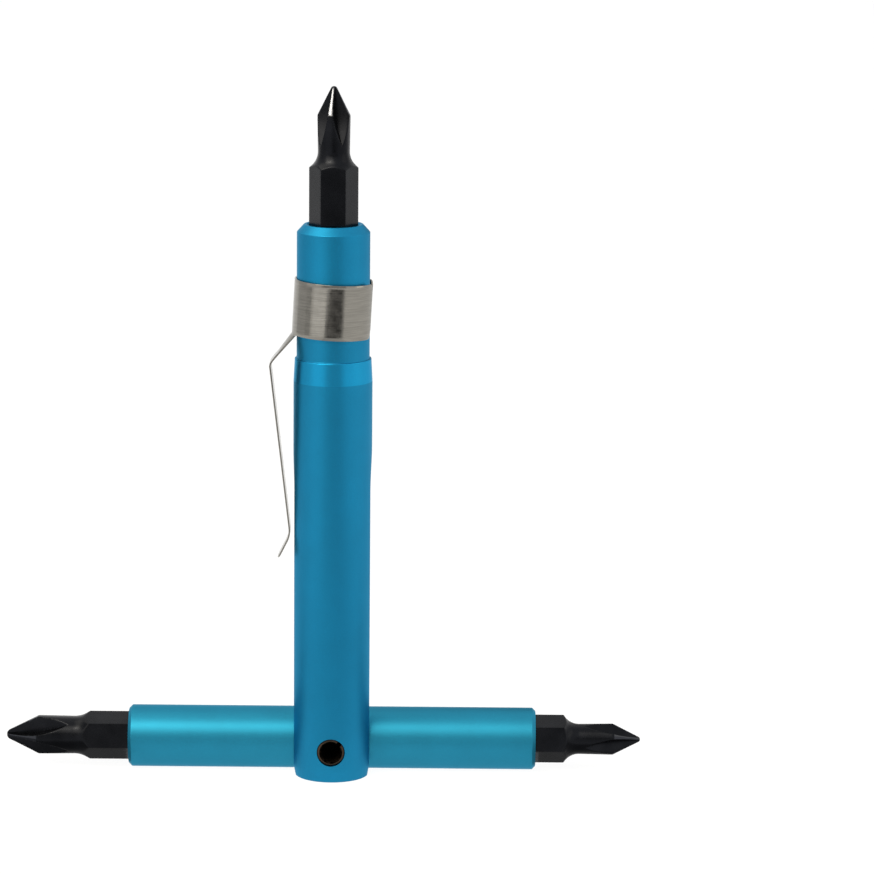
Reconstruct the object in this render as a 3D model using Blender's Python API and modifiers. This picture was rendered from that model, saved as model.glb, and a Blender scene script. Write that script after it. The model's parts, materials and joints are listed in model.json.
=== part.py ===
"""Folding T-handle screwdriver with three double-ended bits, in metres, +Z up.

The driver body stands upright on its flat lower end. Its lower back is milled away, and a round crossbar
lies in that relief and turns on a slotted spring pin, from the T to in line with the body. A hex socket in
the neck and one in each end of the crossbar hold the bits, and each bit keeps itself in its socket with a
sprung detent ball. A pocket clip of sheet steel grips the neck.
"""

import math

import bmesh
import bpy
from mathutils import Matrix, Vector

MM = 0.001

# Driver body: a turned bar with a neck at the top
BODY_DIAMETER = 11.8 * MM
NECK_STEP = 0.45 * MM
NECK_LENGTH = 20.1 * MM
NECK_EDGE_WIDTH = 1.05 * MM
NECK_EDGE_HEIGHT = 1.15 * MM
SHOULDER_RISE = 0.18 * MM
SHOULDER_TAPER = 3.4 * MM
FOOT_EDGE_WIDTH = 0.3 * MM
FOOT_EDGE_HEIGHT = 1.6 * MM

# Relief milled in the body's back for the folded crossbar
RELIEF_OFFSET = 1.5 * MM
RELIEF_OVERRUN = 8.3 * MM
RELIEF_RADIUS = 16.0 * MM
RELIEF_WEB = 3.25 * MM
LAP_GAP = 0.3 * MM

# Crossbar
BAR_DIAMETER = 9.4 * MM
BAR_EDGE = 0.5 * MM
BAR_WEB = 0.93 * MM
BAR_SOCKET_ROLL = math.radians(12)

# Slotted spring pin through body and crossbar
PIN_DIAMETER = 4.0 * MM
PIN_WALL = 0.5 * MM
PIN_SLIT = 0.8 * MM
PIN_SLIT_ANGLE = math.radians(45)
PIN_EDGE = 0.2 * MM
PIN_RECESS = 0.2 * MM
PIN_CLEARANCE = 0.12 * MM

# Hex sockets
HEX_ACROSS_FLATS = 6.35 * MM
SOCKET_CLEARANCE = 0.15 * MM
SOCKET_END_GAP = 0.4 * MM
SOCKET_MOUTH_LEAD = 0.16 * MM
SOCKET_MOUTH_DEPTH = 0.7 * MM

# What all three bits share: a cross point, a hex middle and a slotted blade
BIT_LENGTH = 43.6 * MM
BLADE_LENGTH = 11.2 * MM
BLADE_FLAT_LENGTH = 6.9 * MM
BLADE_THICKNESS = 0.9 * MM
BLADE_COVE = 2.9 * MM
POINT_HALF_ANGLE = math.radians(26.5)
POINT_COVE = 2.4 * MM
SHANK_WAIST = 0.08 * MM
FLUTE_ROOT = 0.25 * MM
FLUTE_LEAD = 1.0 * MM
FLUTE_STOP = 3.2 * MM
FLUTE_DEPTH = 4.0 * MM
WING_TURN = math.radians(-12)

# Each bit: how far it stands out of its socket, then its own sizes
BITS = {
    "top": {
        "reach": 20.5 * MM,
        "point": 12.1 * MM,
        "shank": 4.9 * MM,
        "tip": 0.5 * MM,
        "blade": 3.85 * MM,
    },
    "left": {
        "reach": 18.75 * MM,
        "point": 12.75 * MM,
        "shank": 5.9 * MM,
        "tip": 0.85 * MM,
        "blade": 5.1 * MM,
    },
    "right": {
        "reach": 16.05 * MM,
        "point": 11.75 * MM,
        "shank": 4.75 * MM,
        "tip": 0.45 * MM,
        "blade": 3.85 * MM,
    },
}

# Detent ball and spring in each bit
BALL_DIAMETER = 2.8 * MM
BALL_GAP = 0.1 * MM
BALL_HOLE_CLEARANCE = 0.15 * MM
STAKE_WIDTH = 0.25 * MM
STAKE_DEPTH = 0.25 * MM
SPRING_LENGTH = 2.15 * MM
SPRING_DIAMETER = 2.5 * MM
SPRING_WIRE = 0.3 * MM
SPRING_TURNS = 2.5
SPRING_SEAT_GAP = 0.1 * MM

# Pocket clip: a split band round the neck and a spring arm
CLIP_SHEET = 0.25 * MM
CLIP_BAND_HEIGHT = 8.3 * MM
CLIP_DROP = 12.5 * MM
CLIP_TILT = math.radians(3)
CLIP_CLEARANCE = 0.06 * MM
CLIP_SPLIT = 3.6 * MM
CLIP_CORNER = 0.8 * MM
CLIP_ARM_WIDTH = 4.0 * MM
CLIP_TIP_WIDTH = 3.0 * MM
CLIP_STAND_OFF = 3.5 * MM
CLIP_BEND_DROP = 4.6 * MM
CLIP_ARM_LENGTH = 26.0 * MM
CLIP_FOOT_GAP = 0.3 * MM
CLIP_FLICK_OUT = 1.8 * MM
CLIP_FLICK_DROP = 3.6 * MM
CLIP_BEND_RADIUS = 0.9 * MM
CLIP_FOOT_RADIUS = 1.8 * MM

# Facets
BODY_STEPS = 64
BAR_STEPS = 48
PIN_STEPS = 32
BIT_STEPS = 36
WHEEL_STEPS = 72
HOLE_STEPS = 24
ARC_STEPS = 5
CORNER_STEPS = 3
RUN_OUT_STEPS = 12
BALL_SEGMENTS = 16
BALL_RINGS = 12
COIL_POINTS = 10
BAND_SIDE_STEPS = 22
ARM_STEPS = 6

# How far cutters run past the faces that they cut, and how near turned points must be to become one
MARGIN = 2.0 * MM
MERGE_DISTANCE = 0.01 * MM

# The bevel profile of a round corner
ROUND = 0.5

# Sizes that follow from those above
BODY_RADIUS = BODY_DIAMETER / 2
NECK_RADIUS = BODY_RADIUS - NECK_STEP
SHOULDER_RADIUS = BODY_RADIUS - SHOULDER_RISE
BAR_RADIUS = BAR_DIAMETER / 2
BAR_Y = BAR_RADIUS + LAP_GAP - RELIEF_OFFSET
PIN_HOLE_RADIUS = PIN_DIAMETER / 2 + PIN_CLEARANCE
HEX_CORNER_RADIUS = HEX_ACROSS_FLATS / math.sqrt(3)
SOCKET_CORNER_RADIUS = (HEX_ACROSS_FLATS + 2 * SOCKET_CLEARANCE) / math.sqrt(3)
TOP_SOCKET_DEPTH = BIT_LENGTH - BITS["top"]["reach"] + SOCKET_END_GAP
BAR_SOCKET_DEPTH = BIT_LENGTH - min(BITS["left"]["reach"], BITS["right"]["reach"]) + SOCKET_END_GAP
BAR_LENGTH = 2 * (BAR_SOCKET_DEPTH + BAR_WEB + PIN_HOLE_RADIUS)
RELIEF_FLAT_END = BAR_RADIUS + BAR_LENGTH / 2 + RELIEF_OVERRUN
RELIEF_DEPTH = BODY_RADIUS + RELIEF_OFFSET
RELIEF_RUN_OUT = math.sqrt(2 * RELIEF_RADIUS * RELIEF_DEPTH - RELIEF_DEPTH**2)
BODY_LENGTH = RELIEF_FLAT_END + RELIEF_RUN_OUT + RELIEF_WEB + TOP_SOCKET_DEPTH
SHOULDER_Z = BODY_LENGTH - NECK_LENGTH
BALL_RADIUS = BALL_DIAMETER / 2
BALL_HOLE_RADIUS = BALL_RADIUS + BALL_HOLE_CLEARANCE
BALL_PROUD = SOCKET_CLEARANCE - BALL_GAP
BALL_HOLE_DEPTH = BALL_DIAMETER - BALL_PROUD + SPRING_LENGTH + 2 * SPRING_SEAT_GAP

# The origin is in the middle of the body's lower end face, so the tool's axis lies behind it
AXIS_Y = (BODY_RADIUS + RELIEF_OFFSET) / 2

PARTS = "t_handle_screwdriver"
CUTTERS = "t_handle_screwdriver_cutters"


def clear_scene():
    """Empties the scene and adds the collections for the parts and for the cutters."""
    for old in list(bpy.data.objects):
        bpy.data.objects.remove(old, do_unlink=True)
    for name in (PARTS, CUTTERS):
        bpy.context.scene.collection.children.link(bpy.data.collections.new(name))


def material(name, hex_colour, metallic, roughness):
    """A Principled material from an sRGB hex colour."""
    made = bpy.data.materials.new(name)
    made.use_nodes = True
    shader = made.node_tree.nodes["Principled BSDF"]
    channels = [int(hex_colour[i : i + 2], 16) / 255 for i in (0, 2, 4)]
    linear = [c / 12.92 if c <= 0.04045 else ((c + 0.055) / 1.055) ** 2.4 for c in channels]
    shader.inputs["Base Color"].default_value = (*linear, 1)
    shader.inputs["Metallic"].default_value = metallic
    shader.inputs["Roughness"].default_value = roughness
    made.diffuse_color = (*linear, 1)
    return made


def place(name, data, parent, location=(0, 0, 0), rotation=None, cutter=False):
    """Links an object under its parent, in the parts' collection or the cutters'."""
    made = bpy.data.objects.new(name, data)
    bpy.data.collections[CUTTERS if cutter else PARTS].objects.link(made)
    made.parent = parent
    made.location = location
    if rotation is not None:
        made.rotation_euler = rotation.to_euler()
    if cutter:
        made.hide_render = True
        made.display_type = "WIRE"
    return made


def turn(axis, angle):
    return Matrix.Rotation(angle, 3, axis)


def mesh_from(name, bm):
    mesh = bpy.data.meshes.new(name)
    bm.to_mesh(mesh)
    bm.free()
    return mesh


def turned(name, profile, steps, parent, closed=False, **placing):
    """Turns a profile of (radius, height) points about Z. Its outer side runs from top to bottom."""
    bm = bmesh.new()
    points = [bm.verts.new((radius, 0, height)) for radius, height in profile]
    for upper, lower in zip(points, points[1:]):
        bm.edges.new((upper, lower))
    if closed:
        bm.edges.new((points[-1], points[0]))
    made = place(name, mesh_from(name, bm), parent, **placing)
    screw = made.modifiers.new("Turn", "SCREW")
    screw.steps = steps
    screw.render_steps = steps
    screw.use_merge_vertices = True
    screw.merge_threshold = MERGE_DISTANCE
    return made


def prism(name, sides, radius, low, high, parent, **placing):
    """An upright prism with its first corner on +X, used as a cutter."""
    bm = bmesh.new()
    bmesh.ops.create_cone(
        bm, cap_ends=True, segments=sides, radius1=radius, radius2=radius, depth=high - low
    )
    quarter_turn = math.pi / 2
    bmesh.ops.rotate(bm, verts=bm.verts, matrix=turn("Z", -quarter_turn))
    bmesh.ops.translate(bm, verts=bm.verts, vec=(0, 0, (low + high) / 2))
    return place(name, mesh_from(name, bm), parent, cutter=True, **placing)


def block(name, low, high, parent, **placing):
    """A box between two corners, used as a cutter."""
    bm = bmesh.new()
    bmesh.ops.create_cube(bm, size=1)
    bmesh.ops.scale(bm, verts=bm.verts, vec=[b - a for a, b in zip(low, high)])
    bmesh.ops.translate(bm, verts=bm.verts, vec=[(a + b) / 2 for a, b in zip(low, high)])
    return place(name, mesh_from(name, bm), parent, cutter=True, **placing)


def extruded(name, outline, half_width, parent):
    """A cutter with an outline of (y, z) points, run along X to both sides."""
    bm = bmesh.new()
    face = bm.faces.new([bm.verts.new((-half_width, y, z)) for y, z in outline])
    grown = bmesh.ops.extrude_face_region(bm, geom=[face])["geom"]
    moved = [v for v in grown if isinstance(v, bmesh.types.BMVert)]
    bmesh.ops.translate(bm, verts=moved, vec=(2 * half_width, 0, 0))
    bmesh.ops.recalc_face_normals(bm, faces=bm.faces)
    return place(name, mesh_from(name, bm), parent, cutter=True)


def cut(piece, cutter, operation="DIFFERENCE"):
    boolean = piece.modifiers.new(cutter.name, "BOOLEAN")
    boolean.operation = operation
    boolean.object = cutter


def finish(piece, made_of):
    """Gives a piece its material, and shading that keeps flat faces flat."""
    piece.data.materials.append(made_of)
    shading = piece.modifiers.new("Shading", "WEIGHTED_NORMAL")
    shading.keep_sharp = True
    return piece


def cove(start, end, steps=ARC_STEPS):
    """Points of a concave arc from start, where it runs upright, to end, without the start point."""
    rise = end[0] - start[0]
    drop = end[1] - start[1]
    radius = (rise**2 + drop**2) / (2 * rise)
    sweep = math.asin(min(1.0, abs(drop) / radius))
    angles = [sweep * i / steps for i in range(1, steps + 1)]
    return [
        (start[0] + radius * (1 - math.cos(a)), start[1] + math.copysign(radius * math.sin(a), drop))
        for a in angles
    ]


def hex_socket(name, holder, mouth, depth):
    """Cuts a hex socket with a coned mouth. The mouth empty stands on the end face, its Z pointing out."""
    cut(holder, prism(f"{name}_socket", 6, SOCKET_CORNER_RADIUS, -depth, MARGIN, mouth))
    mouth_radius = SOCKET_CORNER_RADIUS + SOCKET_MOUTH_LEAD
    slope = SOCKET_MOUTH_LEAD + SOCKET_MOUTH_DEPTH
    coned = [
        (0, MARGIN),
        (mouth_radius, MARGIN),
        (mouth_radius, 0),
        (mouth_radius - slope, -SOCKET_MOUTH_DEPTH),
        (0, -SOCKET_MOUTH_DEPTH),
    ]
    cut(holder, turned(f"{name}_mouth", coned, BIT_STEPS, mouth, cutter=True))


def driver_body(tool_axis, mouth, pin_axis, made_of):
    """The turned body: neck, shoulder and foot, cut by the top socket, the relief and the pin's hole."""
    profile = [
        (0, BODY_LENGTH),
        (NECK_RADIUS - NECK_EDGE_WIDTH, BODY_LENGTH),
        (NECK_RADIUS, BODY_LENGTH - NECK_EDGE_HEIGHT),
        (NECK_RADIUS, SHOULDER_Z),
        (SHOULDER_RADIUS, SHOULDER_Z),
        (BODY_RADIUS, SHOULDER_Z - SHOULDER_TAPER),
        (BODY_RADIUS, FOOT_EDGE_HEIGHT),
        (BODY_RADIUS - FOOT_EDGE_WIDTH, 0),
        (0, 0),
    ]
    body = turned("driver_body", profile, BODY_STEPS, tool_axis)
    hex_socket("top", body, mouth, TOP_SOCKET_DEPTH)
    cut(body, relief(tool_axis))
    cut(body, pin_hole("body_pin_hole", pin_axis))
    return finish(body, made_of)


def relief(tool_axis):
    """The milled flat behind the axis, which leaves the body in an arc of the milling cutter's radius."""
    sweep = math.asin(RELIEF_RUN_OUT / RELIEF_RADIUS)
    arc = [sweep * i / RUN_OUT_STEPS for i in range(RUN_OUT_STEPS + 1)]
    outline = [(-RELIEF_OFFSET, -MARGIN)]
    outline += [
        (RELIEF_RADIUS * (1 - math.cos(a)) - RELIEF_OFFSET, RELIEF_FLAT_END + RELIEF_RADIUS * math.sin(a))
        for a in arc
    ]
    last_y, last_z = outline[-1]
    outline += [(last_y + MARGIN, last_z), (last_y + MARGIN, -MARGIN)]
    return extruded("relief", outline, BODY_RADIUS + MARGIN, tool_axis)


def pin_hole(name, pin_axis):
    return prism(name, PIN_STEPS, PIN_HOLE_RADIUS, -BODY_DIAMETER, BODY_DIAMETER + BAR_DIAMETER, pin_axis)


def pivot_pin(pin_axis, made_of):
    """A rolled tube with a slit along one side, pressed in from the front to the crossbar's back."""
    outer = PIN_DIAMETER / 2
    inner = outer - PIN_WALL
    front = PIN_RECESS - BODY_RADIUS
    back = BAR_Y + BAR_RADIUS - PIN_RECESS
    profile = [
        (outer - PIN_EDGE, back),
        (outer, back - PIN_EDGE),
        (outer, front + PIN_EDGE),
        (outer - PIN_EDGE, front),
        (inner, front),
        (inner, back),
    ]
    pin = turned("pivot_pin", profile, PIN_STEPS, pin_axis, closed=True)
    slit = block(
        "pin_slit",
        (0, -PIN_SLIT / 2, front - MARGIN),
        (PIN_DIAMETER, PIN_SLIT / 2, back + MARGIN),
        pin_axis,
        rotation=turn("Z", PIN_SLIT_ANGLE),
    )
    cut(pin, slit)
    return finish(pin, made_of)


def crossbar(pivot, mouths, pin_axis, made_of):
    """The round bar with a socket in each end and the pin's hole across its middle."""
    half = BAR_LENGTH / 2
    profile = [
        (0, half),
        (BAR_RADIUS - BAR_EDGE, half),
        (BAR_RADIUS, half - BAR_EDGE),
        (BAR_RADIUS, BAR_EDGE - half),
        (BAR_RADIUS - BAR_EDGE, -half),
        (0, -half),
    ]
    bar = turned("crossbar", profile, BAR_STEPS, pivot, rotation=turn("Y", math.pi / 2))
    for side, mouth in mouths.items():
        hex_socket(side, bar, mouth, BAR_SOCKET_DEPTH)
    cut(bar, pin_hole("bar_pin_hole", pin_axis))
    return finish(bar, made_of)


def point_profile(sizes):
    """The cross point's profile: a domed tip, the cone, the waisted shank and the cove down to the hex."""
    dome_end = math.pi / 2 - POINT_HALF_ANGLE
    angles = [dome_end * i / ARC_STEPS for i in range(ARC_STEPS + 1)]
    dome = [(sizes["tip"] * math.sin(a), BIT_LENGTH - sizes["tip"] * (1 - math.cos(a))) for a in angles]
    shank = sizes["shank"] / 2
    cone_end = dome[-1][1] - (shank - dome[-1][0]) / math.tan(POINT_HALF_ANGLE)
    hex_start = BIT_LENGTH - sizes["point"]
    waist = (shank - SHANK_WAIST, hex_start + POINT_COVE)
    return dome + [(shank, cone_end), waist] + cove(waist, (HEX_CORNER_RADIUS, hex_start))


def blade_profile(sizes):
    """The slotted end's profile from the hex down to the blade's end."""
    neck = (sizes["blade"] / 2, BLADE_LENGTH - BLADE_COVE)
    rising = [neck] + cove(neck, (HEX_CORNER_RADIUS, BLADE_LENGTH))
    return rising[::-1] + [(sizes["blade"] / 2, 0), (0, 0)]


def bit(side, sizes, mouth, made_of):
    """A turned blank brought to hex bar, with ground flutes, a flattened blade and the ball's hole."""
    cover = HEX_CORNER_RADIUS + SOCKET_CLEARANCE
    hex_ends = [(cover, BIT_LENGTH - sizes["point"]), (cover, BLADE_LENGTH)]
    profile = point_profile(sizes) + hex_ends + blade_profile(sizes)
    base = (0, 0, sizes["reach"] - BIT_LENGTH)
    made = turned(f"{side}_bit", profile, BIT_STEPS, mouth, location=base)
    hex_bar = prism(f"{side}_hex_bar", 6, HEX_CORNER_RADIUS, -MARGIN, BIT_LENGTH + MARGIN, made)
    cut(made, hex_bar, "INTERSECT")
    for number in range(4):
        cut(made, flute_wheel(f"{side}_flute_{number}", number, sizes, made))
    for face in (-1, 1):
        cut(made, blade_flat(f"{side}_blade_flat_{face}", face, sizes, made))
    cut(made, ball_hole(f"{side}_ball_hole", ball_height(sizes), made))
    return finish(made, made_of)


def flute_wheel(name, number, sizes, parent):
    """A grinding wheel with a right-angled rim, which runs out of the shank above the hex."""
    run = sizes["point"] - FLUTE_STOP - FLUTE_LEAD
    rise = sizes["shank"] / 2 - FLUTE_ROOT
    radius = (run**2 + rise**2) / (2 * rise)
    rim = [(0, FLUTE_DEPTH), (radius - FLUTE_DEPTH, FLUTE_DEPTH), (radius, 0)]
    rim += [(radius - FLUTE_DEPTH, -FLUTE_DEPTH), (0, -FLUTE_DEPTH)]
    facing = WING_TURN + (number + 0.5) * math.pi / 2
    reach = FLUTE_ROOT + radius
    location = (reach * math.sin(facing), -reach * math.cos(facing), BIT_LENGTH - FLUTE_LEAD)
    upright = turn("Z", facing) @ turn("Y", math.pi / 2)
    return turned(name, rim, WHEEL_STEPS, parent, location=location, rotation=upright, cutter=True)


def blade_flat(name, face, sizes, parent):
    """The block that takes one side off the blade, tilted so that the blade thins to its end."""
    slope = math.atan((sizes["blade"] - BLADE_THICKNESS) / 2 / BLADE_FLAT_LENGTH)
    low = (-sizes["blade"], 0, -BLADE_LENGTH)
    high = (sizes["blade"], BLADE_LENGTH, BLADE_LENGTH)
    facing = turn("Z", 0 if face > 0 else math.pi) @ turn("X", -slope)
    location = (0, face * BLADE_THICKNESS / 2, 0)
    return block(name, low, high, parent, location=location, rotation=facing)


def ball_height(sizes):
    """The middle of the bit's hex, from the blade's end."""
    return (BIT_LENGTH - sizes["point"] + BLADE_LENGTH) / 2


def ball_hole(name, height, parent):
    """The blind hole in the front flat, with the staked ring that keeps the ball in."""
    profile = [
        (0, MARGIN),
        (BALL_HOLE_RADIUS + STAKE_WIDTH, MARGIN),
        (BALL_HOLE_RADIUS + STAKE_WIDTH, 0),
        (BALL_HOLE_RADIUS, -STAKE_DEPTH),
        (BALL_HOLE_RADIUS, -BALL_HOLE_DEPTH),
        (0, -BALL_HOLE_DEPTH),
    ]
    location = (0, -HEX_ACROSS_FLATS / 2, height)
    facing = turn("X", math.pi / 2)
    return turned(name, profile, HOLE_STEPS, parent, location=location, rotation=facing, cutter=True)


def detent_ball(side, sizes, parent, made_of):
    """The steel ball, held flush with the bit's flat by the socket's wall."""
    bm = bmesh.new()
    bmesh.ops.create_uvsphere(bm, u_segments=BALL_SEGMENTS, v_segments=BALL_RINGS, radius=BALL_RADIUS)
    name = f"{side}_detent_ball"
    seat = (0, BALL_RADIUS - BALL_PROUD - HEX_ACROSS_FLATS / 2, ball_height(sizes))
    ball = place(name, mesh_from(name, bm), parent, location=seat)
    ball.data.shade_smooth()
    ball.data.materials.append(made_of)
    return ball


def coil_points():
    """A helix about Y: one point for each step, from the ball's side to the hole's floor."""
    steps = round(SPRING_TURNS * COIL_POINTS)
    radius = (SPRING_DIAMETER - SPRING_WIRE) / 2
    travel = SPRING_LENGTH - SPRING_WIRE
    turns = [SPRING_TURNS * 2 * math.pi * i / steps for i in range(steps + 1)]
    return [
        (radius * math.cos(a), travel * i / steps + SPRING_WIRE / 2, radius * math.sin(a))
        for i, a in enumerate(turns)
    ]


def least_coil_gap(points):
    """The least clear distance between one turn's wire and the next turn's."""
    apart = round(COIL_POINTS / 2)
    pairs = ((a, b) for i, a in enumerate(points) for b in points[i + apart :])
    return min(math.dist(a, b) for a, b in pairs) - SPRING_WIRE


def detent_spring(side, sizes, parent, made_of):
    """The coil spring between the ball and the floor of its hole."""
    name = f"{side}_detent_spring"
    points = coil_points()
    curve = bpy.data.curves.new(name, "CURVE")
    curve.dimensions = "3D"
    curve.bevel_depth = SPRING_WIRE / 2
    curve.bevel_resolution = 1
    curve.use_fill_caps = True
    wire = curve.splines.new("POLY")
    wire.points.add(len(points) - 1)
    for point, spot in zip(wire.points, points):
        point.co = (*spot, 1)
    curve.materials.append(made_of)
    start = BALL_DIAMETER - BALL_PROUD + SPRING_SEAT_GAP - HEX_ACROSS_FLATS / 2
    print(f"{name}: least gap between turns {least_coil_gap(points) / MM:.2f} mm")
    return place(name, curve, parent, location=(0, start, ball_height(sizes)))


def eased_corner(before, corner, after, radius):
    """Points of a parabola that starts and ends this radius away from a path's corner."""
    start = corner + (before - corner).normalized() * radius
    end = corner + (after - corner).normalized() * radius
    shares = [i / ARC_STEPS for i in range(ARC_STEPS + 1)]
    return [start * (1 - t) ** 2 + corner * 2 * t * (1 - t) + end * t**2 for t in shares]


def band_angles(radius):
    """Angles from +X round the split band, with the arm's own columns centred on -X."""
    split = CLIP_SPLIT / 2 / radius
    arm = math.asin(CLIP_ARM_WIDTH / 2 / radius)
    side = [split + (math.pi - arm - split) * i / BAND_SIDE_STEPS for i in range(BAND_SIDE_STEPS)]
    middle = [math.pi - arm + 2 * arm * i / ARM_STEPS for i in range(ARM_STEPS + 1)]
    return side + middle + [2 * math.pi - a for a in reversed(side)]


def arm_path(root):
    """The arm's middle line from its root: out to the bend, down to the foot, and out at the tip."""
    bend = Vector((-BODY_RADIUS - CLIP_STAND_OFF, 0, root.z - CLIP_BEND_DROP))
    foot = Vector((-BODY_RADIUS - CLIP_FOOT_GAP - CLIP_SHEET / 2, 0, bend.z - CLIP_ARM_LENGTH))
    tip = foot - Vector((CLIP_FLICK_OUT, 0, CLIP_FLICK_DROP))
    bent = eased_corner(root, bend, foot, CLIP_BEND_RADIUS)
    return bent + eased_corner(bend, foot, tip, CLIP_FOOT_RADIUS) + [tip]


def sheet_faces(bm, rows):
    """Quads between neighbouring rows of points."""
    for upper, lower in zip(rows, rows[1:]):
        for i in range(len(upper) - 1):
            bm.faces.new((upper[i], upper[i + 1], lower[i + 1], lower[i]))


def pocket_clip(swivel, made_of):
    """One stamped sheet: the band, tilted on the neck as far as its play lets it, and the arm below it."""
    play = CLIP_BAND_HEIGHT / 2 * math.sin(CLIP_TILT)
    radius = NECK_RADIUS / math.cos(CLIP_TILT) + play + CLIP_CLEARANCE + CLIP_SHEET / 2
    angles = band_angles(radius)
    lean = Matrix.Translation((0, 0, BODY_LENGTH - CLIP_DROP)) @ Matrix.Rotation(CLIP_TILT, 4, "Y")
    bm = bmesh.new()
    band = []
    for height in (CLIP_BAND_HEIGHT / 2, -CLIP_BAND_HEIGHT / 2):
        around = [Vector((radius * math.cos(a), radius * math.sin(a), height)) for a in angles]
        band.append([bm.verts.new(lean @ point) for point in around])
    sheet_faces(bm, band)

    arm_columns = slice(BAND_SIDE_STEPS, BAND_SIDE_STEPS + ARM_STEPS + 1)
    across = [math.sin(a) * 2 * radius / CLIP_ARM_WIDTH for a in angles[arm_columns]]
    arm = [band[1][arm_columns]]
    path = arm_path(arm[0][ARM_STEPS // 2].co)
    for i, point in enumerate(path, start=1):
        half_width = (CLIP_ARM_WIDTH + (CLIP_TIP_WIDTH - CLIP_ARM_WIDTH) * i / len(path)) / 2
        arm.append([bm.verts.new((point.x, share * half_width, point.z)) for share in across])
    sheet_faces(bm, arm)

    corners = [band[0][0], band[0][-1], band[1][0], band[1][-1]]
    bmesh.ops.bevel(
        bm, geom=corners, offset=CLIP_CORNER, segments=CORNER_STEPS, affect="VERTICES", profile=ROUND
    )
    clip = place("pocket_clip", mesh_from("pocket_clip", bm), swivel)
    wall = clip.modifiers.new("Sheet", "SOLIDIFY")
    wall.thickness = CLIP_SHEET
    wall.offset = 0
    wall.use_even_offset = True
    return finish(clip, made_of)


def empty(name, parent, location=(0, 0, 0), rotation=None):
    return place(name, None, parent, location, rotation)


def main():
    clear_scene()
    anodised = material("blue_anodised_aluminium", "1F7FAD", 0.6, 0.45)
    black_oxide = material("black_oxide_steel", "1B1A1C", 0.7, 0.4)
    nickel = material("nickel_plated_spring_steel", "A8A29A", 1.0, 0.3)
    pin_steel = material("black_spring_steel", "17130F", 0.8, 0.45)
    ball_steel = material("polished_ball_steel", "C9C8C4", 1.0, 0.12)
    wire_steel = material("spring_wire", "8C8B88", 1.0, 0.35)

    tool_axis = empty("tool_axis", None, (0, AXIS_Y, 0))
    pivot = empty("crossbar_pivot", tool_axis, (0, BAR_Y, BAR_RADIUS))
    pin_axis = empty("pin_axis", tool_axis, (0, 0, BAR_RADIUS), turn("X", -math.pi / 2))
    swivel = empty("clip_swivel", tool_axis)
    mouths = {"top": empty("top_socket_mouth", tool_axis, (0, 0, BODY_LENGTH))}
    for side, sign in (("left", -1), ("right", 1)):
        facing = turn("Y", sign * math.pi / 2) @ turn("Z", -sign * BAR_SOCKET_ROLL)
        mouths[side] = empty(f"{side}_socket_mouth", pivot, (sign * BAR_LENGTH / 2, 0, 0), facing)
    bar_mouths = {side: mouths[side] for side in ("left", "right")}

    driver_body(tool_axis, mouths["top"], pin_axis, anodised)
    crossbar(pivot, bar_mouths, pin_axis, anodised)
    pivot_pin(pin_axis, pin_steel)
    pocket_clip(swivel, nickel)
    for side, sizes in BITS.items():
        holder = bit(side, sizes, mouths[side], black_oxide)
        detent_ball(side, sizes, holder, ball_steel)
        detent_spring(side, sizes, holder, wire_steel)
    print(f"body {BODY_LENGTH / MM:.2f} mm long, crossbar {BAR_LENGTH / MM:.2f} mm long")


main()
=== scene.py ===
"""Finish of a folding T-handle screwdriver, laid out as a Blender add-on and run as a script.

Each operator makes one piece, or a group of like pieces, as a surface worked out with numpy and in the place of
its CAD node, and gives it its material. Sizes come from the CAD frame and from the property groups, in metres.
"""

import json
import math

import bpy
import numpy as np
from bpy.props import FloatProperty, FloatVectorProperty, IntProperty, PointerProperty
from mathutils import Matrix, Vector

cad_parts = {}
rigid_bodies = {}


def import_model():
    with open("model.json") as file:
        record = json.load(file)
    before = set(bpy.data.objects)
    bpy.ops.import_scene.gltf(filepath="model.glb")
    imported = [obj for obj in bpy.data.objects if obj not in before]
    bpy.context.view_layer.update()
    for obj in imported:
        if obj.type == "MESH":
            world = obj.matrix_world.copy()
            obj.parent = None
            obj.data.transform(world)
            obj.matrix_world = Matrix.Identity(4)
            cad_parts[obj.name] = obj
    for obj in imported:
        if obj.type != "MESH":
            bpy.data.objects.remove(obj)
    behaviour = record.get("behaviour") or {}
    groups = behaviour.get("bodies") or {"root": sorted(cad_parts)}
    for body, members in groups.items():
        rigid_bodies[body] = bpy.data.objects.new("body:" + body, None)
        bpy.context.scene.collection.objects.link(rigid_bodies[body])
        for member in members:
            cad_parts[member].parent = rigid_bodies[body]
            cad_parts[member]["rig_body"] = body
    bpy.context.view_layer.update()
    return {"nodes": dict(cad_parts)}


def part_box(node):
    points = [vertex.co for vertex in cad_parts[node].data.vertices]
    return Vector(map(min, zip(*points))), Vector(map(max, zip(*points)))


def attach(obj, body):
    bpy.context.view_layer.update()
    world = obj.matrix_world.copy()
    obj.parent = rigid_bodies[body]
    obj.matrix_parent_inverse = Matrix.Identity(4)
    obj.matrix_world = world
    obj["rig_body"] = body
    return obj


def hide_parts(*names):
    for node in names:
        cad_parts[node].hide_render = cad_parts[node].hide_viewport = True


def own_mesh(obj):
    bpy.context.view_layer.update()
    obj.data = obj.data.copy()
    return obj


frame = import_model()

bl_info = {
    "name": "T-handle screwdriver",
    "version": (1, 0, 0),
    "blender": (4, 5, 0),
    "location": "View3D > Sidebar > Screwdriver",
    "description": "Builds the finished pieces of a folding T-handle screwdriver",
    "category": "Add Mesh",
}

MM = 0.001
SIDES = ("top", "left", "right")

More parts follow.
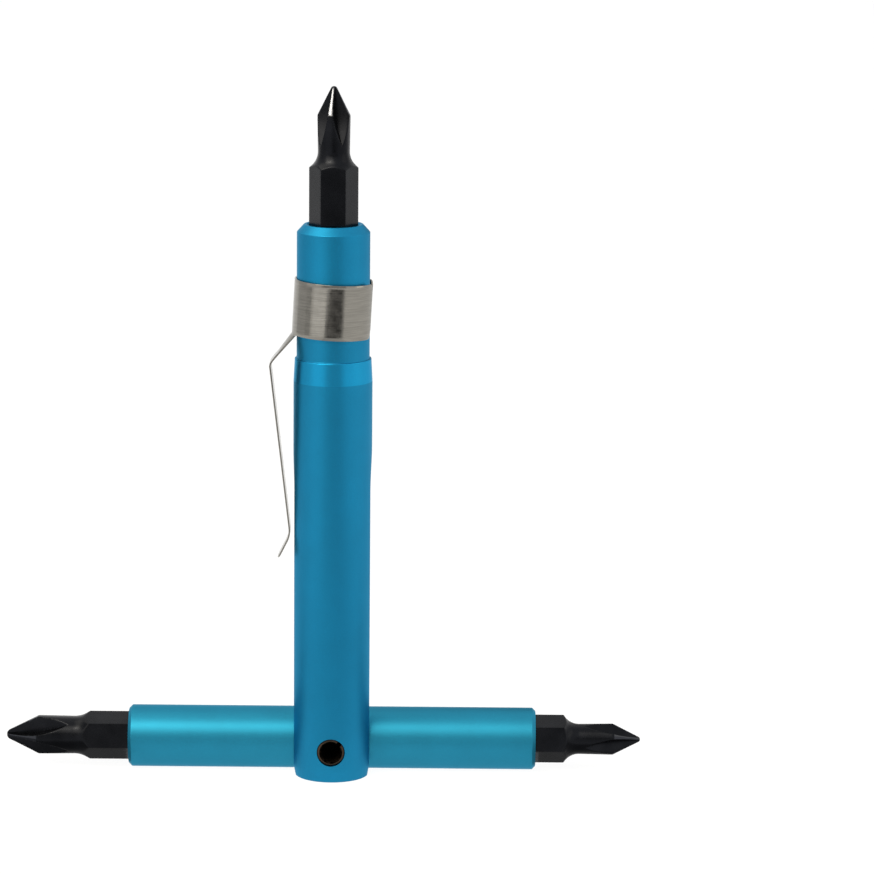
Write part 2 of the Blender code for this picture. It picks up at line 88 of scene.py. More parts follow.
# How finely curves are drawn: points along a line, or round a ring.
CORNER_STEPS, BEND_STEPS, RUN_OUT_STEPS = 5, 9, 40
COVE_STEPS, DOME_STEPS = 14, 12
SOCKET_MOUTH_COLUMNS, PIN_HOLE_COLUMNS, BALL_HOLE_COLUMNS = 96, 64, 72
PIN_COLUMNS = 72
BALL_ROWS, BALL_COLUMNS = 34, 64
COIL_ROWS, WIRE_COLUMNS = 121, 14
BAND_ROWS, BAND_SIDE_COLUMNS, ARM_COLUMNS = 15, 60, 17
ARM_PITCH = 0.4 * MM

WELD_DISTANCE = 0.002 * MM
SHARP_ANGLE = math.radians(35)
SHEET_EDGE_ANGLE = math.radians(50)

# Each bit's cross point length, shank, tip radius and blade width, in millimetres.
BIT_FACTS = {
    "top": (12.1, 4.9, 0.50, 3.85),
    "left": (12.75, 5.9, 0.85, 5.1),
    "right": (11.75, 4.75, 0.45, 3.85),
}

# The part of a noise texture's range that holds nearly all of it, as a Map Range's from min and from max.
NOISE_SPAN = {1: 0.3, 2: 0.7}


def linear(hex_colour):
    """An sRGB hex colour as linear red, green and blue."""
    srgb = np.array([int(hex_colour[i : i + 2], 16) for i in (0, 2, 4)]) / 255
    return tuple(float(c) for c in np.where(srgb <= 0.04045, srgb / 12.92, ((srgb + 0.055) / 1.055) ** 2.4))


def node_size(node):
    low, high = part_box(node)
    return high - low


def node_middle(node):
    low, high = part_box(node)
    return (low + high) / 2


def length(name, description, millimetres):
    return FloatProperty(
        name=name, description=description, default=millimetres * MM, unit="LENGTH", precision=5
    )


def angle(name, description, degrees):
    return FloatProperty(name=name, description=description, default=math.radians(degrees), subtype="ANGLE")


def colour(name, description, hex_colour):
    return FloatVectorProperty(
        name=name, description=description, default=linear(hex_colour), subtype="COLOR", min=0, max=1
    )


class BodySizes(bpy.types.PropertyGroup):
    neck_step: length("Neck step", "How far the neck is turned down below the body", 0.45)
    neck_length: length("Neck length", "Neck from its end to the shoulder", 20.1)
    neck_edge_width: length("Neck edge width", "Radial width of the bevel at the neck's end", 1.05)
    neck_edge_height: length("Neck edge height", "Height of the bevel at the neck's end", 1.15)
    shoulder_rise: length("Shoulder rise", "Radial rise of the taper below the neck", 0.18)
    shoulder_taper: length("Shoulder taper", "Height of the taper below the neck", 3.4)
    foot_edge_width: length("Foot edge width", "Radial width of the taper at the foot", 0.3)
    foot_edge_height: length("Foot edge height", "Height of the taper at the foot", 1.6)
    relief_offset: length("Relief offset", "Relief's floor in front of the body's axis", 1.5)
    relief_flat_end: length("Relief flat end", "Height where the relief's floor starts to rise", 44.0)
    relief_radius: length("Relief radius", "Radius of the relief's run-out", 16.0)
    edge_break: length("Edge break", "Rounding of turned edges", 0.12)
    columns: IntProperty(name="Columns", description="Facets round a turned piece", default=192, min=24)


class SocketSizes(bpy.types.PropertyGroup):
    across_flats: length("Across flats", "Hex of the bits", 6.35)
    clearance: length("Clearance", "Gap between a bit's flat and its socket", 0.15)
    mouth_lead: length("Mouth lead", "Width of the coned mouth outside the hex corners", 0.16)
    mouth_depth: length("Mouth depth", "Depth of the coned mouth", 0.7)
    top_depth: length("Top depth", "Depth of the socket in the neck", 23.5)
    bar_depth: length("Bar depth", "Depth of the sockets in the crossbar", 27.95)
    bar_edge: length("Bar edge", "Bevel at the crossbar's ends", 0.5)
    bar_roll: angle("Bar roll", "Turn of the crossbar's sockets about its axis", 12)
    pin_clearance: length("Pin clearance", "Radial gap round the pin", 0.12)
    pin_wall: length("Pin wall", "Wall of the rolled pin", 0.5)
    pin_slit: length("Pin slit", "Slit along the pin", 0.8)
    pin_edge: length("Pin edge", "Bevel at the pin's ends", 0.2)
    pin_slit_angle: angle("Pin slit angle", "Direction of the slit, up from the right", 45)


class BitSizes(bpy.types.PropertyGroup):
    blade_length: length("Blade length", "Slotted end from the hex to its tip", 11.2)
    blade_flat_length: length("Blade flat length", "Length of the blade's flats", 6.9)
    blade_thickness: length("Blade thickness", "Thickness at the blade's tip", 0.9)
    blade_cove: length("Blade cove", "Length of the cove between blade and hex", 2.9)
    point_angle: angle("Point half angle", "Half angle of the cross point's cone", 26.5)
    point_cove: length("Point cove", "Length of the cove between shank and hex", 2.4)
    waist: length("Waist", "How far the shank narrows towards the cove", 0.08)
    flute_root: length("Flute root", "Flute's least distance from the axis", 0.25)
    flute_lead: length("Flute lead", "Where the flute is deepest, below the tip", 1.0)
    flute_stop: length("Flute stop", "Where the flutes run out, above the hex", 3.2)
    wing_turn: angle("Wing turn", "Turn of the wings from the ball's flat", -12)
    columns: IntProperty(name="Columns", description="Facets round a bit", default=216, min=24)
    row_pitch: length("Row pitch", "Spacing of the rows along a bit", 0.16)
    ball_gap: length("Ball gap", "Gap between a ball and its socket's wall", 0.1)
    ball_hole_gap: length("Ball hole gap", "Radial gap round a ball", 0.15)
    stake_width: length("Stake width", "Width of the staked ring round a ball", 0.25)
    stake_depth: length("Stake depth", "Depth of the staked ring", 0.25)
    spring_length: length("Spring length", "Length of the detent springs at rest", 2.15)
    spring_seat_gap: length("Spring seat gap", "Gap between a ball and its spring", 0.1)
    spring_wire: length("Spring wire", "Diameter of the detent springs' wire", 0.3)
    spring_diameter: length("Spring diameter", "Outer diameter of the detent springs", 2.5)
    spring_turns: FloatProperty(name="Spring turns", description="Turns of a detent spring", default=2.5)


class ClipSizes(bpy.types.PropertyGroup):
    sheet: length("Sheet", "Thickness of the sheet steel", 0.25)
    band_height: length("Band height", "Height of the band", 8.3)
    drop: length("Drop", "Neck's end down to the middle of the band", 12.5)
    tilt: angle("Tilt", "Lean of the band on the neck", 3)
    clearance: length("Clearance", "Least gap between band and neck", 0.06)
    split: length("Split", "Gap between the band's ends", 3.6)
    corner: length("Corner", "Radius of the band's corners", 0.8)
    arm_width: length("Arm width", "Width of the arm at the band", 4.0)
    tip_width: length("Tip width", "Width of the arm at its tip", 3.0)
    stand_off: length("Stand off", "Arm's bend out from the body", 3.5)
    bend_drop: length("Bend drop", "Band's lower edge down to the bend", 4.6)
    arm_length: length("Arm length", "Bend down to the foot", 26.0)
    foot_gap: length("Foot gap", "Gap between foot and body", 0.3)
    flick_out: length("Flick out", "Tip out from the foot", 1.8)
    flick_drop: length("Flick drop", "Foot down to the tip", 3.6)
    bend_radius: length("Bend radius", "Easing of the bend", 0.9)
    foot_radius: length("Foot radius", "Easing of the foot", 1.8)
    root_flare: length("Root flare", "Radius between the arm and the band", 0.6)
    edge_break: length("Edge break", "Rounding of the sheet's edges", 0.06)


class Finishes(bpy.types.PropertyGroup):
    anodised: colour("Anodised", "Dyed oxide on the body", "067AA3")
    anodised_bar: colour("Anodised bar", "Dyed oxide on the crossbar, from another bath", "187E9C")
    black_oxide: colour("Black oxide", "Oxide on the bits", "1E1F22")
    nickel: colour("Nickel", "Plating on the clip", "88857E")
    pin: colour("Pin", "Dull oxide on the pin", "4A3F38")
    ball: colour("Ball", "Bearing steel", "B4B4B2")
    wire: colour("Wire", "Drawn spring wire", "8C8B88")


class StageSettings(bpy.types.PropertyGroup):
    view_height: angle("View height", "Camera's elevation", 11)
    view_roll: angle("View roll", "Camera's roll, which leans the tool to the right", 0.5)
    view_distance: length("View distance", "Camera to the tool", 600)
    aim_right: length("Aim right", "Middle of the frame, right of the tool's axis", 15.6)
    aim_up: length("Aim up", "Middle of the frame, above the floor", 52.2)
    lens: FloatProperty(name="Lens", description="Focal length in millimetres", default=165.0)
    floor_size: length("Floor size", "Side of the square floor", 6000)


def rounded(corners, radii, steps=CORNER_STEPS):
    """A polyline with each inner corner replaced by an arc of its radius, tangent to both its sides.

    One more point a quarter radius past each end of the arc keeps the sides' shading flat.
    """
    corners = np.array(corners, float)
    pieces = [corners[:1]]
    for before, corner, after, radius in zip(corners, corners[1:], corners[2:], radii):
        a = (before - corner) / np.linalg.norm(before - corner)
        b = (after - corner) / np.linalg.norm(after - corner)
        half = math.acos(np.clip(a @ b, -1, 1)) / 2
        reach = radius / math.tan(half)
        bisector = (a + b) / np.linalg.norm(a + b)
        centre = corner + bisector * radius / math.sin(half)
        start, end = corner + a * reach - centre, corner + b * reach - centre
        sweep = math.pi - 2 * half
        t = np.linspace(0, 1, steps)[:, None]
        hold = reach + radius / 4
        pieces.append([corner + a * hold])
        pieces.append(centre + (start * np.sin((1 - t) * sweep) + end * np.sin(t * sweep)) / math.sin(sweep))
        pieces.append([corner + b * hold])
    return np.vstack(pieces + [corners[-1:]])


def resampled(line, pitch):
    """Points at an even pitch along a polyline, with its ends kept."""
    along = np.concatenate([[0], np.cumsum(np.linalg.norm(np.diff(line, axis=0), axis=1))])
    even = np.linspace(0, along[-1], int(along[-1] / pitch) + 2)
    return np.stack([np.interp(even, along, column) for column in line.T], axis=1)


def round_angles(columns):
    return np.linspace(0, 2 * math.pi, columns, endpoint=False)


def turned(profile, columns):
    """A grid of points: each profile point (radius, height) carried round Z."""
    profile = np.asarray(profile, float)
    a = round_angles(columns)
    radius, height = profile[:, :1], profile[:, 1:]
    return np.stack([radius * np.cos(a), radius * np.sin(a), height + 0 * a], -1)


def hexagon(half_flats, low, high):
    """A grid of two rows: an upright hex prism with corners on +X and -X."""
    a = round_angles(6)
    corner = half_flats / math.cos(math.pi / 6)
    ring = np.stack([corner * np.cos(a), corner * np.sin(a), np.zeros(6)], -1)
    return np.stack([ring + (0, 0, high), ring + (0, 0, low)])


def placed(grid, place):
    """The grid's points moved by a rigid 4 by 4 matrix."""
    place = np.array(place)
    return grid @ place[:3, :3].T + place[:3, 3]


def new_object(name, points, faces):
    mesh = bpy.data.meshes.new(name)
    mesh.from_pydata(points, [], faces)
    made = bpy.data.objects.new(name, mesh)
    bpy.context.scene.collection.objects.link(made)
    return made


def band_quads(index):
    """Quads between neighbouring rows of an index grid whose columns close on themselves."""
    after = np.roll(index, -1, axis=1)
    return np.stack([index[:-1], index[1:], after[1:], after[:-1]], -1).reshape(-1, 4)


def sheet_quads(index):
    """Quads between neighbouring rows of an index grid with two free sides."""
    return np.stack([index[:-1, :-1], index[:-1, 1:], index[1:, 1:], index[1:, :-1]], -1).reshape(-1, 4)


def closed_solid(name, grid):
    """A solid from a grid whose rows run from its upper end to its lower end, each end closed by a fan."""
    rows, columns = grid.shape[:2]
    index = np.arange(rows * columns).reshape(rows, columns)
    after = np.roll(index, -1, axis=1)
    top, bottom = rows * columns, rows * columns + 1
    points = np.vstack([grid.reshape(-1, 3), grid[0].mean(0), grid[-1].mean(0)])
    upper = np.stack([np.full(columns, top), index[0], after[0]], -1)
    lower = np.stack([np.full(columns, bottom), after[-1], index[-1]], -1)
    return new_object(name, points, band_quads(index).tolist() + upper.tolist() + lower.tolist())


def mark(piece, name, values):
    """Gives a piece's points a value for its material, one for each point."""
    made = piece.data.attributes.new(name, "FLOAT", "POINT")
    made.data.foreach_set("value", np.asarray(values, np.float32).ravel())


def settle(piece):
    """Puts what the piece's modifiers make into its mesh."""
    graph = bpy.context.evaluated_depsgraph_get()
    graph.update()
    before = piece.data
    piece.data = bpy.data.meshes.new_from_object(piece.evaluated_get(graph))
    piece.data.name = piece.name
    piece.modifiers.clear()
    bpy.data.meshes.remove(before)


def carve(piece, *cutters):
    """Takes the cutters out of the piece, and removes them. Points that all but coincide are made one."""
    for cutter in cutters:
        boolean = piece.modifiers.new(cutter.name, "BOOLEAN")
        boolean.object = cutter
    weld = piece.modifiers.new("weld", "WELD")
    weld.merge_threshold = WELD_DISTANCE
    settle(piece)
    for cutter in cutters:
        bpy.data.meshes.remove(cutter.data)


def soften(piece, width, limit):
    """Breaks the edges that are sharper than the limit."""
    bevel = piece.modifiers.new("Edges", "BEVEL")
    bevel.width = width
    bevel.segments = 2
    bevel.limit_method = "ANGLE"
    bevel.angle_limit = limit
    bevel.use_clamp_overlap = True
    settle(piece)


def dress(piece, node, material):
    """Shades the piece, gives it its material, and puts it in its CAD node's place."""
    piece.data.materials.clear()
    piece.data.materials.append(material)
    piece.data.shade_smooth()
    piece.data.set_sharp_from_angle(angle=SHARP_ANGLE)
    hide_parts(node)
    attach(piece, frame["nodes"][node]["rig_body"])
    return piece


def node(tree, kind, inputs=(), **settings):
    """Adds a node with its settings. An input's value is a constant, or the socket to link to it.

    Inputs go by name or by number: a Map Range's are value, from min, from max, to min and to max, and
    a colour Mix's are factor (0) and its two colours (6 and 7), with output 2.
    """
    made = tree.nodes.new(f"ShaderNode{kind}")
    for key, value in settings.items():
        setattr(made, key, value)
    fill(tree, made, dict(inputs))
    return made


def fill(tree, made, inputs):
    """Gives a node's inputs their constants and links."""
    for key, value in inputs.items():
        if isinstance(value, bpy.types.NodeSocket):
            tree.links.new(value, made.inputs[key])
        else:
            made.inputs[key].default_value = value


def new_material(name):
    """An empty node material, its Principled shader and the object's own coordinates."""
    material = bpy.data.materials.new(name)
    material.use_nodes = True
    tree = material.node_tree
    shader = tree.nodes["Principled BSDF"]
    place = node(tree, "TexCoord").outputs["Object"]
    return material, tree, shader, place


def per_metre(millimetres):
    """A texture scale that repeats at this size."""
    return 1 / (millimetres * MM)


def anodised_aluminium(name, dyed, body):
    """Aluminium, bead blasted and dye anodised: a satin, coloured gleam with a fine even grain.

    The sealed oxide adds a faint colourless sheen. The taper below the neck was cut after blasting, so it is
    smoother and has no pits; its colour is also painted a third lighter, as a painted highlight.
    """
    material, tree, shader, place = new_material(name)
    # Blasting leaves pits of about 0.05 mm; they are drawn at 0.22 mm so that they show.
    grain = node(tree, "TexNoise", {"Vector": place, "Scale": per_metre(0.22), "Detail": 2.0})
    dye = node(tree, "TexNoise", {"Vector": place, "Scale": per_metre(5.0), "Detail": 3.0})
    both = node(tree, "Math", {0: grain.outputs["Fac"], 1: dye.outputs["Fac"]}, operation="ADD")
    taper = body.shoulder_taper / 2
    taper_middle = node_size("driver_body").z - body.neck_length - taper
    height = node(tree, "SeparateXYZ", {0: place}).outputs["Z"]
    on_taper = node(tree, "Math", {0: height, 1: taper_middle, 2: taper}, operation="COMPARE")
    uneven = node(tree, "MapRange", {0: both.outputs[0], 1: 0.6, 2: 1.4, 3: 0.92, 4: 1.08})
    # Painted highlight: the taper's colour is raised by a third, for the light that its upward slope catches.
    painted_taper_highlight = {0: on_taper.outputs[0], 1: 0.34, 2: uneven.outputs[0]}
    grain_and_painted_light = node(tree, "Math", painted_taper_highlight, operation="MULTIPLY_ADD")
    tones = {0: 1.0, 6: (*dyed, 1.0), 7: grain_and_painted_light.outputs[0]}
    tint = node(tree, "Mix", tones, data_type="RGBA", blend_type="MULTIPLY")
    satin = node(tree, "MapRange", {0: grain.outputs["Fac"], **NOISE_SPAN, 3: 0.4, 4: 0.46})
    rough = node(tree, "Mix", {0: on_taper.outputs[0], 2: satin.outputs[0], 3: 0.31})
    pits = node(tree, "Math", {0: on_taper.outputs[0], 1: -0.03, 2: 0.03}, operation="MULTIPLY_ADD")
    depth = {"Height": grain.outputs["Fac"], "Strength": pits.outputs[0], "Distance": 0.03 * MM}
    bump = node(tree, "Bump", depth)
    oxide = {"Specular Tint": (0.45, 0.75, 0.9, 1), "Coat Weight": 0.2, "Coat Roughness": 0.42, "Coat IOR": 1.6}
    looks = {"Base Color": tint.outputs[2], "Roughness": rough.outputs[0], "Normal": bump.outputs[0]}
    fill(tree, shader, {**looks, **oxide, "Metallic": 1.0})
    return material


def black_oxide_steel(finish):
    """Tool steel, black oxided and oiled: near black with a cool sheen; the wings are painted three times
    lighter, a painted highlight.
    """
    material, tree, shader, place = new_material("tool_steel_black_oxide")
    # The oxide's crystals are far under 0.1 mm; they are drawn at 0.3 mm so that they show.
    crystal = node(tree, "TexNoise", {"Vector": place, "Scale": per_metre(0.3), "Detail": 3.0})
    patch = node(tree, "TexNoise", {"Vector": place, "Scale": per_metre(3.0), "Detail": 2.0})
    wing = node(tree, "Attribute", attribute_name="wing").outputs["Fac"]
    uneven = node(tree, "MapRange", {0: patch.outputs["Fac"], **NOISE_SPAN, 3: 0.8, 4: 1.2})
    # Painted highlight: the wings' tone is tripled, so that the lamps' glint on them shows white.
    patches_and_wing_highlight = node(tree, "Math", {0: wing, 1: 2.0, 2: uneven.outputs[0]}, operation="MULTIPLY_ADD")
    tones = {0: 1.0, 6: (*finish.black_oxide, 1.0), 7: patches_and_wing_highlight.outputs[0]}
    tint = node(tree, "Mix", tones, data_type="RGBA", blend_type="MULTIPLY")
    oxide = node(tree, "MapRange", {0: crystal.outputs["Fac"], **NOISE_SPAN, 3: 0.22, 4: 0.34})
    rough = node(tree, "Mix", {0: wing, 2: oxide.outputs[0], 3: 0.1})
    depth = {"Height": crystal.outputs["Fac"], "Strength": 0.08, "Distance": 0.03 * MM}
    bump = node(tree, "Bump", depth)
    looks = {"Base Color": tint.outputs[2], "Roughness": rough.outputs[0], "Normal": bump.outputs[0]}
    fill(tree, shader, {**looks, "Metallic": 1.0})
    return material


def nickel_steel(finish):
    """Spring steel sheet, brushed along the band and nickel plated: warm grey with fine streaks."""
    material, tree, shader, place = new_material("spring_steel_brushed_nickel")
    # The brush lines are some 0.02 mm apart; they are drawn at 0.14 mm so that they show.
    lines = (per_metre(3.0), per_metre(3.0), per_metre(0.14))
    stretch = node(tree, "Mapping", {"Vector": place, "Scale": lines})
    brush = node(tree, "TexNoise", {"Vector": stretch.outputs[0], "Scale": 1.0, "Detail": 3.0})
    cloud = node(tree, "TexNoise", {"Vector": place, "Scale": per_metre(1.2), "Detail": 3.0})
    streak = node(tree, "MapRange", {0: brush.outputs["Fac"], **NOISE_SPAN, 3: 0.86, 4: 1.12})
    tones = {0: 1.0, 6: (*finish.nickel, 1.0), 7: streak.outputs[0]}
    tint = node(tree, "Mix", tones, data_type="RGBA", blend_type="MULTIPLY")
    rough = node(tree, "MapRange", {0: cloud.outputs["Fac"], **NOISE_SPAN, 3: 0.12, 4: 0.2})
    depth = {"Height": brush.outputs["Fac"], "Strength": 0.12, "Distance": 0.02 * MM}
    bump = node(tree, "Bump", depth)
    looks = {"Base Color": tint.outputs[2], "Roughness": rough.outputs[0], "Normal": bump.outputs[0]}
    fill(tree, shader, {**looks, "Metallic": 1.0})
    return material


def plain_steel(name, tone, roughness, grain_mm, metallic=1.0, specular=0.5):
    """Bare or oxided steel of one tone, with a light grain in its tone and its gloss, and painted shade that
    darkens a marked bore.
    """
    material, tree, shader, place = new_material(name)
    grain = node(tree, "TexNoise", {"Vector": place, "Scale": per_metre(grain_mm), "Detail": 2.0})
    uneven = node(tree, "MapRange", {0: grain.outputs["Fac"], **NOISE_SPAN, 3: 0.85, 4: 1.1})
    # Painted shade: a marked bore is darkened to a tenth of its tone.
    painted_bore_shade = node(tree, "Attribute", attribute_name="painted_bore_shade").outputs["Fac"]
    grain_and_painted_light = node(tree, "Math", {0: painted_bore_shade, 1: -0.9, 2: uneven.outputs[0]}, operation="MULTIPLY_ADD")
    tones = {0: 1.0, 6: (*tone, 1.0), 7: grain_and_painted_light.outputs[0]}
    tint = node(tree, "Mix", tones, data_type="RGBA", blend_type="MULTIPLY")
    gloss = {0: grain.outputs["Fac"], **NOISE_SPAN, 3: 0.8 * roughness, 4: 1.2 * roughness}
    rough = node(tree, "MapRange", gloss)
    looks = {"Base Color": tint.outputs[2], "Roughness": rough.outputs[0]}
    fill(tree, shader, {**looks, "Metallic": metallic, "Specular IOR Level": specular})
    return material


def tool_axis():
    """A point on the body's axis, at the floor."""
    middle = node_middle("driver_body")
    return Vector((middle.x, middle.y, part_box("driver_body")[0].z))


def pin_hole(name, gap):
    """A round cutter along the pin, longer than the pin at both ends."""
    size, middle = node_size("pivot_pin"), node_middle("pivot_pin")
    radius = size.x / 2 + gap
    reach = size.y
    grid = turned([(radius, reach), (radius, -reach)], PIN_HOLE_COLUMNS)
    place = Matrix.Translation(middle) @ Matrix.Rotation(-math.pi / 2, 4, "X")
    return closed_solid(name, placed(grid, place))


def hex_socket(name, sockets, mouth, depth):
    """Two cutters for a socket: a hex prism, and a cone that opens its mouth."""
    half = sockets.across_flats / 2 + sockets.clearance
    corner = half / math.cos(math.pi / 6)
    rim = corner + sockets.mouth_lead
    margin = MM
    slope = (sockets.mouth_lead + sockets.mouth_depth) / sockets.mouth_depth
    cone = [(rim + slope * margin, margin), (rim - slope * sockets.mouth_depth, -sockets.mouth_depth)]
    return (
        closed_solid(f"{name}_hex", placed(hexagon(half, -depth, margin), mouth)),
        closed_solid(f"{name}_mouth", placed(turned(cone, SOCKET_MOUTH_COLUMNS), mouth)),
    )


def relief_cutter(body, radius):
    """The milled relief: its outline in Y and Z, flat and then an arc, carried along X past both sides."""
    start = -body.relief_offset
    depth = radius + body.relief_offset
    sweep = np.linspace(0, math.acos(1 - depth / body.relief_radius), RUN_OUT_STEPS)
    rise = body.relief_radius * (1 - np.cos(sweep))
    run = body.relief_radius * np.sin(sweep)
    arc = np.stack([start + rise, body.relief_flat_end + run], -1)
    margin = 2 * MM
    last_y, last_z = arc[-1]
    outline = np.vstack([[start, -margin], arc, [last_y + margin, last_z], [last_y + margin, -margin]])
    sides = np.array([-1, 1])[:, None, None] * np.array([radius + margin, 0, 0])
    grid = sides + np.column_stack([np.zeros(len(outline)), outline])
    count = len(outline)
    index = np.arange(2 * count).reshape(2, count)
    faces = band_quads(index).tolist() + [index[0].tolist(), index[1][::-1].tolist()]
    return new_object("relief_cutter", placed(grid, Matrix.Translation(tool_axis())).reshape(-1, 3), faces)


def socket_mouth(side):
    """The place of a socket's mouth: its origin in the middle of the end face, its Z out of the socket."""
    roll = bpy.context.scene.driver_sockets.bar_roll
    if side == "top":
        return Matrix.Translation(tool_axis() + Vector((0, 0, node_size("driver_body").z)))
    sign = -1 if side == "left" else 1
    end = node_middle("crossbar") + Vector((sign * node_size("crossbar").x / 2, 0, 0))
    facing = Matrix.Rotation(sign * math.pi / 2, 4, "Y") @ Matrix.Rotation(-sign * roll, 4, "Z")
    return Matrix.Translation(end) @ facing


class DriverBody(bpy.types.Operator):
    """Turns the body, then cuts its socket, its relief and the pin's hole"""

    bl_idname = "screwdriver.driver_body"
    bl_label = "Driver body"

    def execute(self, context):
        body, sockets = context.scene.driver_body, context.scene.driver_sockets
        size = node_size("driver_body")
        radius, top = size.x / 2, size.z
        neck = radius - body.neck_step
        shoulder = top - body.neck_length
        corners = [
            (0, top),
            (neck - body.neck_edge_width, top),
            (neck, top - body.neck_edge_height),
            (neck, shoulder),
            (radius - body.shoulder_rise, shoulder),
            (radius, shoulder - body.shoulder_taper),
            (radius, body.foot_edge_height),
            (radius - body.foot_edge_width, 0),
            (0, 0),
        ]
        soft, blend = body.edge_break, 3 * MM
        profile = rounded(corners, [soft, soft, soft, soft, blend, blend, soft])
        grid = turned(profile, body.columns)
        piece = closed_solid("driver_body_finished", placed(grid, Matrix.Translation(tool_axis())))
        carve(
            piece,
            *hex_socket("top", sockets, socket_mouth("top"), sockets.top_depth),
            relief_cutter(body, radius),
            pin_hole("body_pin_hole", sockets.pin_clearance),
        )
        dyed = context.scene.finishes.anodised
        material = anodised_aluminium("anodised_aluminium_blasted_blue", dyed, body)
        dress(piece, "driver_body", material)
        return {"FINISHED"}


class Crossbar(bpy.types.Operator):
    """Turns the crossbar, then cuts its two sockets and the pin's hole"""

    bl_idname = "screwdriver.crossbar"
    bl_label = "Crossbar"

    def execute(self, context):
        body, sockets = context.scene.driver_body, context.scene.driver_sockets
        size = node_size("crossbar")
        radius, half = size.z / 2, size.x / 2
        edge = sockets.bar_edge
        corners = [(0, half), (radius - edge, half), (radius, half - edge)]
        corners += [(r, -z) for r, z in reversed(corners)]
        soft = body.edge_break
        grid = turned(rounded(corners, [soft] * 4), body.columns)
        place = Matrix.Translation(node_middle("crossbar")) @ Matrix.Rotation(math.pi / 2, 4, "Y")
        piece = closed_solid("crossbar_finished", placed(grid, place))
        cutters = [pin_hole("bar_pin_hole", sockets.pin_clearance)]
        for side in ("left", "right"):
            cutters += hex_socket(side, sockets, socket_mouth(side), sockets.bar_depth)
        carve(piece, *cutters)
        dyed = context.scene.finishes.anodised_bar
        material = anodised_aluminium("anodised_aluminium_blasted_teal", dyed, body)
        dress(piece, "crossbar", material)
        return {"FINISHED"}


class PivotPin(bpy.types.Operator):
    """Rolls the slotted spring pin"""

    bl_idname = "screwdriver.pivot_pin"
    bl_label = "Pivot pin"

    def execute(self, context):
        sockets = context.scene.driver_sockets
        size = node_size("pivot_pin")
        wall, edge = sockets.pin_wall / 2, sockets.pin_edge
        middle = size.x / 2 - wall
        half = size.y / 2
        opening = sockets.pin_slit / 2 / middle
        turn = sockets.pin_slit_angle + np.linspace(opening, 2 * math.pi - opening, PIN_COLUMNS)
        corners = [(wall - edge, half), (wall, half - edge), (wall, edge - half), (wall - edge, -half)]
        along = rounded(corners, [edge / 2] * 2)
        spread, height = along[:, :1] + 0 * turn, along[:, 1:]
        radii = np.concatenate([middle + spread, middle - spread], axis=1)
        a = np.concatenate([turn, turn[::-1]])
        grid = np.stack([radii * np.cos(a), radii * np.sin(a), np.broadcast_to(height, radii.shape)], -1)
        rows, columns = grid.shape[:2]
        index = np.arange(rows * columns).reshape(rows, columns)
        outer, inner = index[:, :PIN_COLUMNS], index[:, : PIN_COLUMNS - 1 : -1]
        ends = [np.stack([outer[0], inner[0]]), np.stack([inner[-1], outer[-1]])]
        faces = band_quads(index).tolist() + [f for end in ends for f in sheet_quads(end).tolist()]
        place = Matrix.Translation(node_middle("pivot_pin")) @ Matrix.Rotation(math.pi / 2, 4, "X")
        piece = new_object("pivot_pin_finished", placed(grid, place).reshape(-1, 3), faces)
        # The pin's inner wall is marked for painted shade in its material.
        mark(piece, "painted_bore_shade", np.tile(np.repeat((0, 1), PIN_COLUMNS), rows))
        tone = context.scene.finishes.pin
        oxide = plain_steel("spring_steel_dull_oxide", tone, 0.6, grain_mm=0.4, metallic=0.0, specular=0.0)
        dress(piece, "pivot_pin", oxide)
        return {"FINISHED"}


def clip_path(clip, radius, root):
    """The arm's middle line in X and Z, from its root to its tip, with its two bends as arcs."""
    bend = (-radius - clip.stand_off, root[1] - clip.bend_drop)
    foot = (-radius - clip.foot_gap - clip.sheet / 2, bend[1] - clip.arm_length)
    tip = (foot[0] - clip.flick_out, foot[1] - clip.flick_drop)
    bends = rounded([root, bend, foot, tip], [clip.bend_radius, 2 * clip.foot_radius], BEND_STEPS)
    return resampled(bends, ARM_PITCH)


